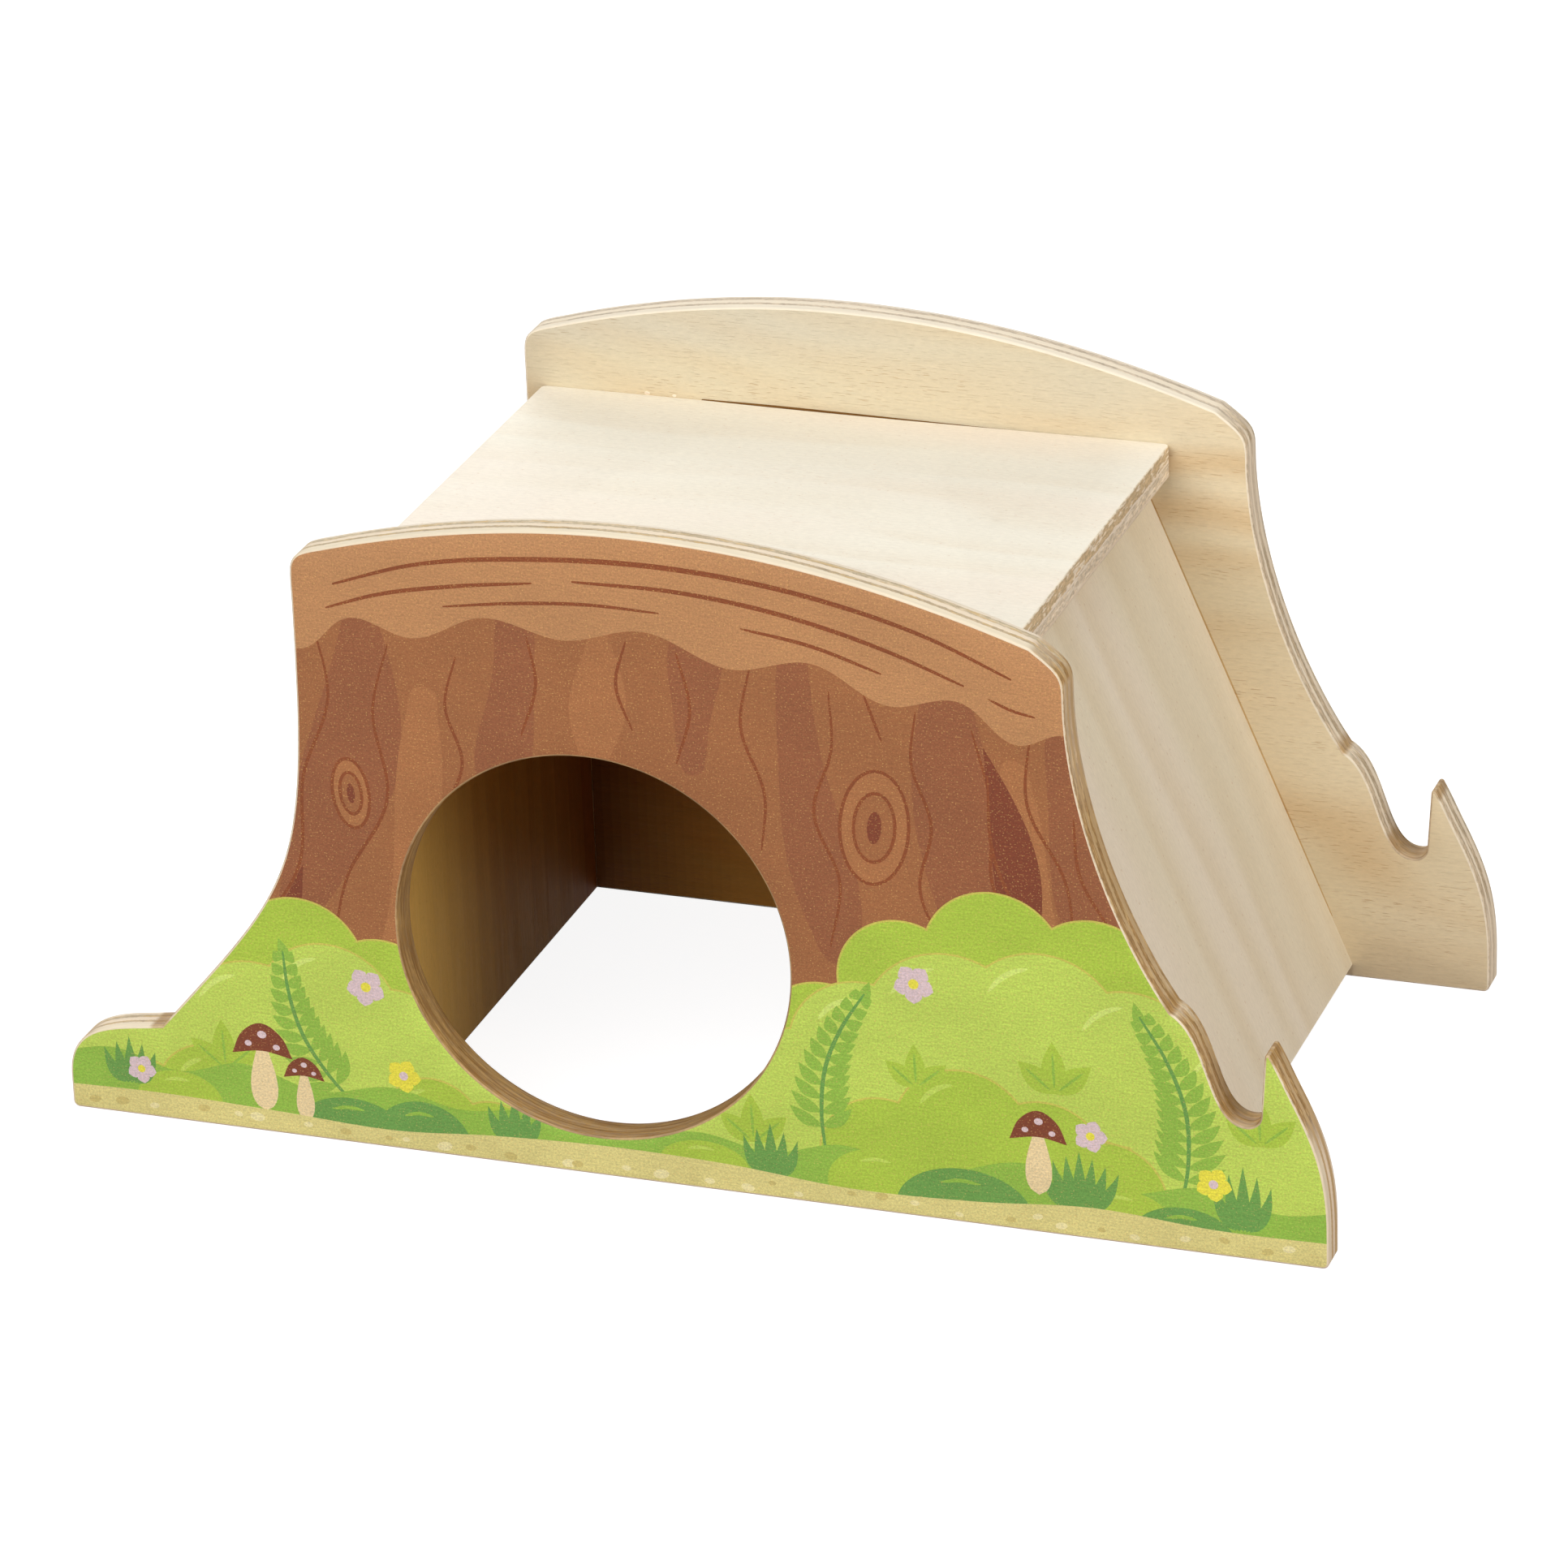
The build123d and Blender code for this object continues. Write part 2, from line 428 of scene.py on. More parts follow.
def through(points, closed=False):
    """A smooth line through a few points."""
    points = [Vector(point) for point in points]
    ways = [mean_direction(*corner) for corner in corners(points)]
    if not closed:
        ways[0] = (points[1] - points[0]).normalized()
        ways[-1] = (points[-1] - points[-2]).normalized()
    pieces = list(zip(points, ways, turned(points), turned(ways)))
    line = []
    for start, way_out, end, way_in in pieces if closed else pieces[:-1]:
        steps = max(2, round((end - start).length / art_step))
        line += curve(start, way_out, end, way_in, steps)
    return line if closed else line + [points[-1]]


def stroke(points, width=line_width, blunt=0.35):
    """A drawn line through the points, thinner at its ends."""
    line = through(points)
    last = len(line) - 1
    left, right = [], []
    for i, here in enumerate(line):
        half = width / 2 * (blunt + (1 - blunt) * sqrt(max(0.0, sin(pi * i / last))))
        side = left_of(line[min(i + 1, last)] - line[max(i - 1, 0)]) * half
        left.append(here + side)
        right.append(here - side)
    return left + right[::-1]


def leaf(base, tip, width, bend=0.0, fullest=0.4):
    """A leaf or a blade of grass from base to tip, bent to the left of that way."""
    base, tip = Vector(base), Vector(tip)
    way = tip - base
    side = left_of(way)
    steps = max(6, round(way.length / art_step))
    power = log(0.5) / log(fullest)
    left, right = [], []
    for step in range(1, steps):
        share = step / steps
        middle = base + way * share + side * (bend * sin(pi * share))
        half = side * (width / 2 * sin(pi * share ** power))
        left.append(middle + half)
        right.append(middle - half)
    return [base] + left + [tip] + right[::-1]


def oval(centre, across, up, turn=0.0):
    """An oval of the given half sizes, turned by some degrees."""
    steps = max(10, round(2 * pi * max(across, up) / art_step))
    turning = Matrix.Rotation(radians(turn), 2)
    angles = [2 * pi * step / steps for step in range(steps)]
    return [Vector(centre) + turning @ Vector((across * cos(a), up * sin(a))) for a in angles]


def arc(x, z, across, up, angles):
    """The points at some angles, in degrees, of an oval round (x, z)."""
    angles = [radians(angle) for angle in angles]
    return [(x + across * cos(angle), z + up * sin(angle)) for angle in angles]


def toward(angle):
    """The unit vector at an angle in degrees."""
    return Vector((cos(radians(angle)), sin(radians(angle))))


def block(left, right, top):
    """A block that stands on the line below the sheet."""
    return [Vector((left, below)), Vector((right, below)), Vector((right, top)), Vector((left, top))]


def ground(points):
    """Ground under a smooth skyline, down to the line below the sheet."""
    line = through(points)
    return line + [Vector((line[-1].x, below)), Vector((line[0].x, below))]


# Artwork: a tree stump in undergrowth, as inks and outlines over each other. Places are in
# millimetres on a sheet as large as the front board, from the middle of its foot

band_brown = screen(183, 135, 92)
bark_brown = screen(153, 100, 63)
bark_light = screen(164, 110, 70)
bark_dark = screen(142, 88, 58)
crack_red = screen(118, 59, 37)
line_brown = screen(131, 70, 38)
leaf_pale = screen(206, 229, 122)
leaf_light = screen(188, 214, 96)
leaf_lime = screen(169, 199, 73)
leaf_mid = screen(143, 186, 74)
leaf_dark = screen(104, 155, 76)
sand = screen(219, 211, 140)
pebble_light = screen(234, 227, 172)
pebble_dark = screen(203, 190, 120)
stem_pale = screen(233, 214, 168)
lilac = screen(219, 200, 207)
yellow = screen(232, 226, 78)
halo = screen(198, 196, 92)

sheet_width = 225.0
sheet_height = 117.4


def each(draw, rows, *inks):
    """Draws something for each row of numbers, with the same inks."""
    for row in rows:
        yield from draw(*row, *inks)


def across_trunk(place, z):
    """The x of a place across the trunk, -1 to 1, which widens towards its foot."""
    drop = max(0.0, (trunk_neck - z) / trunk_drop)
    return trunk_middle + place * (trunk_half + trunk_spread * drop ** 2.2)


def strip(place, width, high, low, sway, colour):
    """A strip of bark between two heights, which swells, sways and has round ends."""
    left, right = [], []
    for step in range(11):
        share = 0.02 + 0.096 * step
        z = high + (low - high) * share
        middle = place + sway * sin(1.0 + 4.0 * share)
        swell = 1 + 0.25 * sin(6.0 * share + 9.0 * place)
        half = width / 2 * sin(pi * share) ** 0.45 * swell
        left.append((across_trunk(middle - half, z), z))
        right.append((across_trunk(middle + half, z), z))
    yield colour, through(left + right[::-1], closed=True)


def furrow(*points):
    """A line through points, each a place across the trunk and a height."""
    yield line_brown, stroke([(across_trunk(place, z), z) for place, z in points])


def knot(x, z, across, up, turn):
    """A knot in the bark: closed lines inside each other round a dark heart."""
    for share, ink in ((1.0, bark_light), (0.62, bark_brown)):
        yield line_brown, oval((x, z), across * share, up * share, turn)
        yield ink, oval((x, z), across * share - line_width, up * share - line_width, turn)
    yield crack_red, oval((x, z), across * 0.2, up * 0.28, turn)


def stump():
    yield bark_brown, block(-120, 120, 130)
    yield from each(strip, (
        (-0.84, 0.2, 104, 36, 0.02), (-0.43, 0.15, 106, 66, 0.02), (0.05, 0.13, 106, 76, 0.01),
        (0.33, 0.15, 104, 44, -0.02), (0.68, 0.17, 104, 30, 0.02), (0.97, 0.14, 96, 46, 0.02),
    ), bark_dark)
    yield from each(strip, (
        (-0.64, 0.11, 88, 28, -0.02), (-0.2, 0.12, 102, 74, 0.01), (0.84, 0.1, 86, 36, 0.02),
    ), bark_light)
    yield from each(furrow, (
        ((-0.95, 97), (-0.91, 84), (-0.95, 68), (-0.9, 52), (-0.94, 34)),
        ((-0.75, 94), (-0.79, 82), (-0.73, 66), (-0.78, 50), (-0.74, 34)),
        ((-0.57, 93), (-0.6, 84), (-0.55, 74), (-0.58, 64), (-0.55, 54)),
        ((-0.38, 98), (-0.36, 90), (-0.4, 80)),
        ((-0.12, 99), (-0.15, 91), (-0.11, 83)),
        ((0.01, 98), (0.04, 88), (0.0, 78)),
        ((0.2, 97), (0.17, 86), (0.22, 74), (0.2, 64)),
        ((0.4, 94), (0.4, 84), (0.34, 72), (0.38, 60), (0.33, 48)),
        ((0.49, 94), (0.53, 86)),
        ((0.62, 92), (0.6, 83), (0.63, 72), (0.57, 60), (0.6, 48)),
        ((0.76, 90), (0.79, 76), (0.75, 62), (0.8, 50)),
        ((0.91, 91), (0.88, 78), (0.93, 64), (0.89, 52)),
        ((0.99, 76), (0.97, 66), (1.0, 56)),
    ))
    yield from knot(36.0, 70.5, 6.2, 10.5, -6)
    yield from knot(-56.5, 66.0, 3.6, 6.6, 4)
    yield crack_red, leaf((61, 47), (55, 87), 8.0, -2.0, 0.42)
    yield from furrow((0.8, 54), (0.77, 68), (0.79, 82))
    yield crack_red, leaf((-86, 16), (-66, 52), 8.0, -3.0, 0.35)


def crown_band():
    """A pale band under the crown, with a scalloped lower edge and lines along it."""
    lower = through([(76, 87), (68.5, 90.5), (61, 88), (51, 94.5), (39, 92.5), (26, 98.5), (12, 96),
                     (-3, 101), (-17, 98), (-31, 100.5), (-44, 95.5), (-55, 98), (-64, 91.5), (-72, 93)])
    yield band_brown, [Vector((-75, 125)), Vector((80, 125))] + lower
    for width, *points in (
        (0.95, (-57.5, 103.8), (-44, 108.4), (-20, 112), (4, 112.6), (28, 109.8), (46, 105.2), (60, 99.4)),
        (0.75, (-59, 99.4), (-50, 102.6), (-36, 105.6), (-22, 107.6)),
        (0.85, (-15, 108.6), (4, 108.6), (24, 106), (40, 101.8), (52, 97.4)),
        (0.65, (-38, 101.8), (-26, 103.6), (-12, 104.8), (0, 104.6)),
        (0.7, (14, 103.4), (26, 101.6), (38, 98)),
        (0.55, (56, 95.6), (60, 94), (64, 93.2)),
    ):
        yield line_brown, stroke(points, width)


def bush(foot, lobes, colour):
    """A bush of round lobes, each (x, z, radius), over a foot (left, right, height)."""
    for edge, ink in ((halo_width, halo), (0.0, colour)):
        for x, z, radius in lobes:
            yield ink, oval((x, z), radius + edge, radius + edge)
    yield colour, block(*foot)


def glint(x, z, radius, colour):
    """A short bright arc inside the upper left edge of a lobe."""
    yield colour, stroke(arc(x, z, radius, radius, (102, 118, 134, 150)), 1.0, 0.2)


def fern(base, tip, bend, width, colour, vein):
    """A fern frond: a bent stem with leaflets that shorten towards its tip."""
    base, tip = Vector(base), Vector(tip)
    way = tip - base
    side = left_of(way)
    pairs = round(way.length / 3.0)
    stem = [base + way * s + side * (bend * sin(pi * s)) for s in (0, 0.25, 0.5, 0.75, 0.97)]
    for pair in range(1, pairs + 1):
        share = 0.12 + 0.82 * pair / pairs
        root = base + way * share + side * (bend * sin(pi * share))
        slant = bend * pi / way.length * cos(pi * share)
        bent = way.normalized() + side * slant
        ahead, out = bent.normalized(), left_of(bent)
        length = width / 2 * (1.1 - share) ** 0.7 * min(1.0, 0.6 + 2.0 * share)
        for sign in (-1, 1):
            point = root + (out * sign + ahead * 0.6).normalized() * length
            yield colour, leaf(root - ahead * 0.4, point, 2.3, 0.5 * sign, 0.45)
    yield colour, leaf(stem[-1] - way.normalized() * 2.0, tip + way.normalized() * 1.5, 2.0)
    yield vein, stroke(stem, 0.75)


def sprig(x, z, size, colour, vein):
    """Three broad leaves from one point, each with a vein."""
    base = Vector((x, z))
    for angle, share in ((140, 0.86), (42, 0.9), (92, 1.0)):
        way = toward(angle) * size * share
        yield colour, leaf(base, base + way, size * 0.44, 0.0, 0.45)
        yield vein, stroke([base + way * 0.12, base + way * 0.45, base + way * 0.78], 0.5)


def hummock(x, z, across, up, colour, shine):
    """A low round clump with a bright arc near its top."""
    yield colour, oval((x, z), across, up)
    yield shine, stroke(arc(x, z, across * 0.7, up * 0.72, (70, 95, 120)), 0.7, 0.2)


def tuft(x, z, height, blades, spread, colour):
    """A tuft of grass whose blades fan out."""
    for blade in range(blades):
        lean = -1 + 2 * (blade + 0.5) / blades
        tall = height * (1 - 0.35 * abs(lean))
        base, tip = (x + lean * spread * 0.25, z), (x + lean * spread, z + tall)
        yield colour, leaf(base, tip, 2.4, -lean * tall * 0.12, 0.3)


def daisy(x, z, radius, petal, heart):
    for number in range(5):
        tip = Vector((x, z)) + toward(72 * number + 3 * x) * radius
        yield petal, leaf((x, z), tip, radius * 0.85, 0.0, 0.62)
    yield heart, oval((x, z), radius * 0.26, radius * 0.26)


def toadstool(x, z, height, cap):
    yield stem_pale, leaf((x, z - 3), (x, z + height), height * 0.42, 0.0, 0.3)
    rim = z + height * 0.62
    shoulder = z + height * 0.98
    rise = through([(x - cap, rim), (x - cap * 0.62, shoulder), (x, z + height * 1.14),
                    (x + cap * 0.62, shoulder), (x + cap, rim)])
    under = through([(x + cap, rim), (x, z + height * 0.7), (x - cap, rim)])
    yield crack_red, rise + under[1:-1]
    for dx, dz, size in ((-0.45, 0.8, 0.1), (0.02, 0.96, 0.13), (0.48, 0.78, 0.1)):
        yield lilac, oval((x + dx * cap, z + dz * height), cap * size * 1.2, cap * size)


def undergrowth():
    yield from each(bush, (
        ((-110, -50, 12), ((-96, 15, 13), (-83, 26, 12), (-68, 33, 12), (-53, 28, 11))),
        ((20, 100, 12), ((26, 30, 11), (40, 43, 11), (56, 49, 12), (73, 46, 12), (87, 36, 13))),
    ), leaf_lime)
    yield from each(bush, (
        ((-120, -34, 12), ((-104, 3, 13), (-91, 10, 14), (-77, 18, 14), (-63, 24, 13), (-51, 18, 12),
                           (-40, 9, 12))),
        ((2, 120, 14), ((9, 9, 12), (21, 20, 12), (33, 29, 13), (48, 34, 15), (64, 37, 14), (79, 32, 14),
                        (91, 25, 14), (101, 24, 17), (112, 12, 14))),
    ), leaf_light)
    yield leaf_light, leaf((105, 4), (103.4, 48), 18, 0.0, 0.4)
    yield from each(bush, (
        ((28, 84, 8), ((36, 10, 11), (50, 16, 12), (64, 13, 11), (75, 8, 10))),
        ((-108, -78, 4), ((-99, 2, 9), (-86, 5, 10))),
        ((-54, -27, 4), ((-45, 5, 9), (-34, 3, 8))),
    ), leaf_lime)
    yield from each(glint, (
        (-78, 19, 10.5), (-63, 25, 9.5), (33, 30, 9), (48, 35, 11.5), (64, 38, 10.5), (80, 33, 10.5),
        (99, 27, 11),
    ), leaf_pale)
    yield from each(glint, ((50, 17, 8.5), (-86, 6, 6.5), (-45, 6, 6)), leaf_light)
    yield from each(sprig, (
        (-83, 11, 9.5), (13, 10, 9.0), (66, 26, 9.5), (42, 24, 8.0), (101, 21, 9.0),
    ), leaf_lime, leaf_mid)
    yield from each(fern, (
        ((-58, 6), (-71, 36), 4.0, 15.0), ((26, 8), (34, 41), 4.0, 14.0), ((87, 6), (80, 43), -5.0, 16.0),
    ), leaf_mid, leaf_dark)
    yield leaf_mid, ground([
        (-116, 10), (-104, 12.5), (-92, 9.5), (-80, 12.5), (-66, 9), (-52, 11.5), (-40, 9), (-27, 10.5),
        (-12, 8.5), (4, 10.5), (16, 8.5), (28, 11.5), (44, 8.5), (60, 12.5), (76, 9), (92, 12), (104, 9),
        (116, 11),
    ])
    yield from each(hummock, (
        (-92, 4, 8, 5.5), (4, 4.5, 8, 4.5), (35, 5, 9, 6.5), (77, 4.5, 9, 5.5),
    ), leaf_lime, leaf_light)
    yield from each(tuft, (
        (-101, 6, 9, 5, 6), (-30, 4, 9, 5, 6), (16, 4, 10, 5, 6), (70, 5, 11, 7, 8), (98, 5, 12, 5, 6),
    ), leaf_dark)
    yield from each(hummock, (
        (-60, 2, 10, 6.5), (-47, 1.5, 9, 8), (50, 2, 12, 8), (88, 2, 9, 6),
    ), leaf_dark, leaf_mid)


def flowers():
    yield from each(toadstool, ((-76, 7, 12, 5.6), (-68.5, 6, 8, 3.8), (63, 10, 11, 5.0)))
    yield from each(daisy, (
        (-99, 9, 2.8, lilac, yellow), (-50, 14, 3.2, yellow, lilac), (-56, 30, 3.6, lilac, yellow),
        (42, 43, 3.6, lilac, yellow), (93, 13, 3.2, yellow, lilac), (72, 19, 3.0, lilac, yellow),
    ))


def path():
    """A strip of sand with pebbles along the foot."""
    yield sand, ground([
        (-116, 4.4), (-96, 4.8), (-74, 4.2), (-52, 3.4), (-34, 4.8), (-14, 5.6), (8, 5.2), (30, 3.6),
        (52, 4.2), (72, 5.8), (94, 4.6), (116, 4.8),
    ])
    chance = random.Random(11)
    for number in range(pebble_count):
        x = -108 + 216 * (number + chance.uniform(-0.4, 0.4)) / (pebble_count - 1)
        size = chance.uniform(0.7, 1.5)
        colour = chance.choice((pebble_light, pebble_dark))
        yield colour, oval((x, chance.uniform(1.2, 3.0)), size, size * 0.6, chance.uniform(-12, 12))


def stump_artwork(board):
    """The inks of the print that fills a board's outline."""
    low, high = extent(board.lines[0])
    grow = Vector(((high.x - low.x) / sheet_width, (high.y - low.y) / sheet_height))
    start = Vector(((low.x + high.x) / 2, low.y))
    inks = [*stump(), *crown_band(), *undergrowth(), *flowers(), *path()]
    return [(ink, [start + Vector((p.x * grow.x, p.y * grow.y)) for p in outline]) for ink, outline in inks]


# Colours that multiply the wood's colour: glue in two pale beads above the seam; painted shadow as a dark
# strip in the open seam and a darker line beside the leaning wall; and painted shade, the brown of the
# faces inside the house. The painted shade is darkest where the left wall meets the back board, fades there
# over corner_shade_width, and over the wall with a delay
seam_painted_shadow = screen(150, 114, 70)
joint_painted_shadow = screen(232, 212, 178)
bead_stain = (1.35, 1.45, 1.75, 1.0)
inside_painted_shade = (0.98, 0.52, 0.13, 1.0)
corner_painted_shade = (0.3, 0.11, 0.025, 1.0)
wall_near_painted_light = (1.2, 0.94, 0.38, 1.0)
wall_far_painted_shade = (0.34, 0.11, 0.025, 1.0)
wall_shade_delay = 1.5
corner_shade_width = 28.0
shade_strips = 16


def leaning_side():
    """(outward direction, top, foot) of the leaning wall's outer face, the two points in
    millimetres and seen from the front."""
    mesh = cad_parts["right_wall"].data
    outer = max((face for face in mesh.polygons if face.normal.x > 0.5), key=lambda face: face.area)
    places = [mesh.vertices[number].co / mm for number in outer.vertices]
    top, foot = (pick(places, key=lambda place: place.z) for pick in (max, min))
    return outer.normal.copy(), top.xz, foot.xz


def graded(tints, first, last, delay=1.0):
    """Strips from a first to a last line of two points, with tints of painted shade from a first to a last
    one, which change late if the delay is over 1."""
    made = []
    for strip in range(shade_strips):
        start, middle, end = ((strip + part) / shade_strips for part in (0.0, 0.5, 1.0))
        tint = tuple(a + (b - a) * middle ** delay for a, b in zip(*tints))
        sides = [[a.lerp(b, share) for a, b in zip(first, last)] for share in (start, end)]
        made.append((tint, sides[0] + sides[1][::-1]))
    return made


def back_stains_and_painted_shade():
    """Colours on the back board's inner face: painted shade inside the house, painted shadow in the open
    seam and along the leaning wall's joint, and two pale beads of glue.
    """
    roof_low, roof_high = (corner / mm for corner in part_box("roof_board"))
    wall_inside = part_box("left_wall")[1].x / mm
    _, top, foot = leaning_side()
    slope = (foot - top).normalized()
    inner = Vector((ply_thickness / slope.y, 0))
    sole = foot + slope * (foot.y / -slope.y)
    # Painted shade inside the house: brown over the back board's inner face, darkest in the corner with the
    # left wall
    corner, beside = ([Vector((x, 0)), Vector((x, roof_low.z))]
                      for x in (wall_inside, wall_inside + corner_shade_width))
    inside = graded((corner_painted_shade, inside_painted_shade), corner, beside)
    inside.append((inside_painted_shade, beside[::-1] + [sole + inner, top + inner]))

    def along_roof(share, rise):
        return Vector((roof_high.x - (roof_high.x - roof_low.x) * share, roof_high.z + rise))

    # A dark strip on the back board along the open seam: painted shadow
    seam = ((seam_start, -0.4), (0.2, -0.3), (0.38, -0.1), (0.52, 0.1), (0.64, 0.2), (seam_end, 0.1))
    slot = through([along_roof(*place) for place in seam])
    slot += [along_roof(seam_end + 0.01, -1.5), along_roof(seam_start, -1.5)]
    # A darker line where the leaning wall meets the back board: painted contact shadow
    joint = [top.lerp(foot, share) for share in (0.0, 0.3, 0.6, 0.9)]
    beads = [(bead_stain, oval(along_roof(share, 0.25), size, size * 0.6))
             for share, size in ((0.829, 0.55), (0.785, 0.4))]
    return inside + [(seam_painted_shadow, slot), (joint_painted_shadow, stroke(joint, 0.4))] + beads


def wall_painted_shade_strips(board):
    """Painted shade on the left wall's inner face, from its front side to its darker back side."""
    low, high = extent(board.lines[0])
    sides = ([Vector((low.x - 1, y)), Vector((high.x + 1, y))] for y in (high.y + 1, low.y - 1))
    return graded((wall_near_painted_light, wall_far_painted_shade), *sides, wall_shade_delay)


# Shader nodes

class Nodes:
    """Adds nodes to a node tree. Values are sockets or plain numbers and colours."""

    def __init__(self, tree):
        self.tree = tree

    def fill(self, node, inputs):
        for name, value in inputs.items():
            if isinstance(value, bpy.types.NodeSocket):
                self.tree.links.new(value, node.inputs[name])
            else:
                node.inputs[name].default_value = value
        return node

    def node(self, kind, inputs, **settings):
        made = self.tree.nodes.new("ShaderNode" + kind)
        for name, value in settings.items():
            setattr(made, name, value)
        return self.fill(made, inputs)

    def attribute(self, name, output):
        return self.node("Attribute", {}, attribute_name=name).outputs[output]

    def parts(self, vector):
        return self.node("SeparateXYZ", {0: vector}).outputs

    def math(self, operation, *values):
        return self.node("Math", dict(enumerate(values)), operation=operation).outputs[0]

    def times(self, first, second):
        return self.math("MULTIPLY", first, second)

    def noise(self, place, x, y, z, detail=2.0, roughness=0.5):
        """Noise, 0 to 1, with x, y and z features to a millimetre along the three ways of place."""
        scaled = self.node("VectorMath", {0: place, 1: (x, y, z)}, operation="MULTIPLY").outputs[0]
        inputs = {"Vector": scaled, "Scale": 1.0, "Detail": detail, "Roughness": roughness}
        return self.node("TexNoise", inputs).outputs[0]

    def fit(self, *values):
        """A value carried smoothly from one low and high to others, or else 0 and 1, and kept there."""
        return self.node("MapRange", dict(enumerate(values)), interpolation_type="SMOOTHSTEP").outputs[0]

    def mix(self, share, first, second, way="MIX"):
        inputs = {0: share, 6: first, 7: second}
        return self.node("Mix", inputs, data_type="RGBA", blend_type=way).outputs[2]

    def blend(self, share, first, second):
        return self.node("Mix", {0: share, 2: first, 3: second}).outputs[0]

    def ramp(self, value, starts, colours):
        """Steps of colour, each from its start on."""
        made = self.node("ValToRGB", {0: value})
        stops = made.color_ramp
        stops.interpolation = "CONSTANT"
        for number, (start, colour) in enumerate(zip(starts, colours)):
            stop = stops.elements[number] if number < 2 else stops.elements.new(start)
            stop.position = start
            stop.color = colour
        return made.outputs[0]

    def shade(self, colour, *fitted):
        """The colour made lighter or darker by a factor, which is a fitted value."""
        factor = self.fit(*fitted)
        grey = self.node("CombineColor", {0: factor, 1: factor, 2: factor}).outputs[0]
        return self.mix(1.0, colour, grey, "MULTIPLY")

    def seen_directly(self):
        """1 where the camera sees the surface itself or in a reflection, and 0 for all other light."""
        path = self.node("LightPath", {}).outputs
        reflected = self.math("MAXIMUM", path["Is Glossy Ray"], path["Is Transmission Ray"])
        return self.math("MAXIMUM", path["Is Camera Ray"], reflected)


class Shading(Nodes):
    """The nodes of a new material."""

    def __init__(self, name):
        self.material = bpy.data.materials.new(name)
        self.material.use_nodes = True
        super().__init__(self.material.node_tree)
        self.surface = self.tree.nodes["Principled BSDF"]

    def finish(self, colour, roughness, gloss, height, distance):
        """Sets the surface, with bumps of a height that spans a distance in mm."""
        bump = self.node("Bump", {"Strength": 1.0, "Distance": distance * mm, "Height": height}).outputs[0]
        self.fill(self.surface, {"Base Color": colour, "Roughness": roughness, "Normal": bump,
                                 "Specular IOR Level": gloss})
        return self.material


# Materials

# The face of a board: its colours, with a lighter one that is painted light over part of the board, the
# millimetres from one growth band to the next, how much the bands slant and stray, how soon they reach
# their full colour, and how strong the bands, fibres, dashes and specks are
Veneer = namedtuple(
    "Veneer", "light dark blush sap band_width band_slant band_stray band_rise band fibre dash speck")

# The plies of a board: where they start below its outer face as shares of its thickness, their
# colours where they are cut along the grain and across it, the colour of torn fibres, how far edges
# across the board's grain look cut across, and where along the wood edges become clean, if anywhere
Plies = namedtuple("Plies", "starts long_grain end_grain fibres upright clean", defaults=[()])

# Where along the wood the back board's painted light starts and is full: its left top part, which the
# roof's bright face lights, is painted darker, and its right part, which the leaning wall shades, is
# painted lighter. Also where the front board's edge becomes clean near its right foot
painted_light_span = (back_seed * board_apart.x + 35.0, back_seed * board_apart.x + 70.0)
clean_foot = (front_seed * board_apart.x + 107.5, front_seed * board_apart.x + 111.5)

burnt_light = screen(180, 144, 88)
burnt_dark = screen(140, 102, 54)


def veneer_face(s, wood, veneer):
    """The colour of a veneer's face and the height of its fibres."""
    along, across, _ = s.parts(wood)
    drift = s.math("SUBTRACT", s.noise(wood, 0.006, 0.016, 0.0), 0.5)
    stray = s.times(drift, veneer.band_stray)
    slanted = s.math("ADD", across, s.times(along, veneer.band_slant))
    turn = s.math("FRACT", s.math("ADD", s.math("DIVIDE", slanted, veneer.band_width), stray))
    rise = veneer.band_rise
    band = s.times(s.fit(turn, 0.0, rise), s.fit(turn, rise, 1.0, 1.0, 0.0))
    patches = s.fit(s.noise(wood, 0.009, 0.05, 0.0, 1.0), 0.38, 0.6, 0.2, 1.0)
    band = s.times(band, patches)
    sheen = s.noise(wood, 0.006, 0.03, 0.02, 1.0)
    # Painted light and shade: past a place along the wood the face turns to its painted light colour, which
    # only the back veneer makes lighter
    colour = s.mix(s.fit(along, *painted_light_span), veneer.light, veneer.sap)
    colour = s.mix(s.fit(sheen, 0.4, 0.62, 0.0, 0.7), colour, veneer.blush)
    colour = s.mix(s.times(band, veneer.band), colour, veneer.dark)

    fibres = s.noise(wood, 0.05, 2.0, 0.02, 3.0, 0.6)
    mottle = s.noise(wood, 0.7, 2.2, 0.02, 3.0, 0.7)
    dashes = s.fit(s.noise(wood, 0.34, 4.8, 0.02, 1.0), 0.62, 0.7)
    clusters = s.fit(s.noise(wood, 0.02, 0.11, 0.02, 1.0), 0.5, 0.64, 0.05, 1.0)
    marks = s.times(dashes, s.math("MAXIMUM", clusters, band))
    specks = s.fit(s.noise(wood, 1.3, 1.7, 0.02, 0.0), 0.76, 0.82)
    colour = s.shade(colour, fibres, 0.25, 0.75, 1.0 + veneer.fibre, 1.0 - veneer.fibre)
    colour = s.shade(colour, mottle, 0.25, 0.75, 1.045, 0.955)
    darker = s.mix(1.0, colour, screen(206, 164, 120), "MULTIPLY")
    colour = s.mix(s.times(marks, veneer.dash), colour, darker)
    colour = s.mix(s.times(specks, veneer.speck), colour, darker)
    return colour, s.math("SUBTRACT", fibres, s.times(dashes, 0.6))


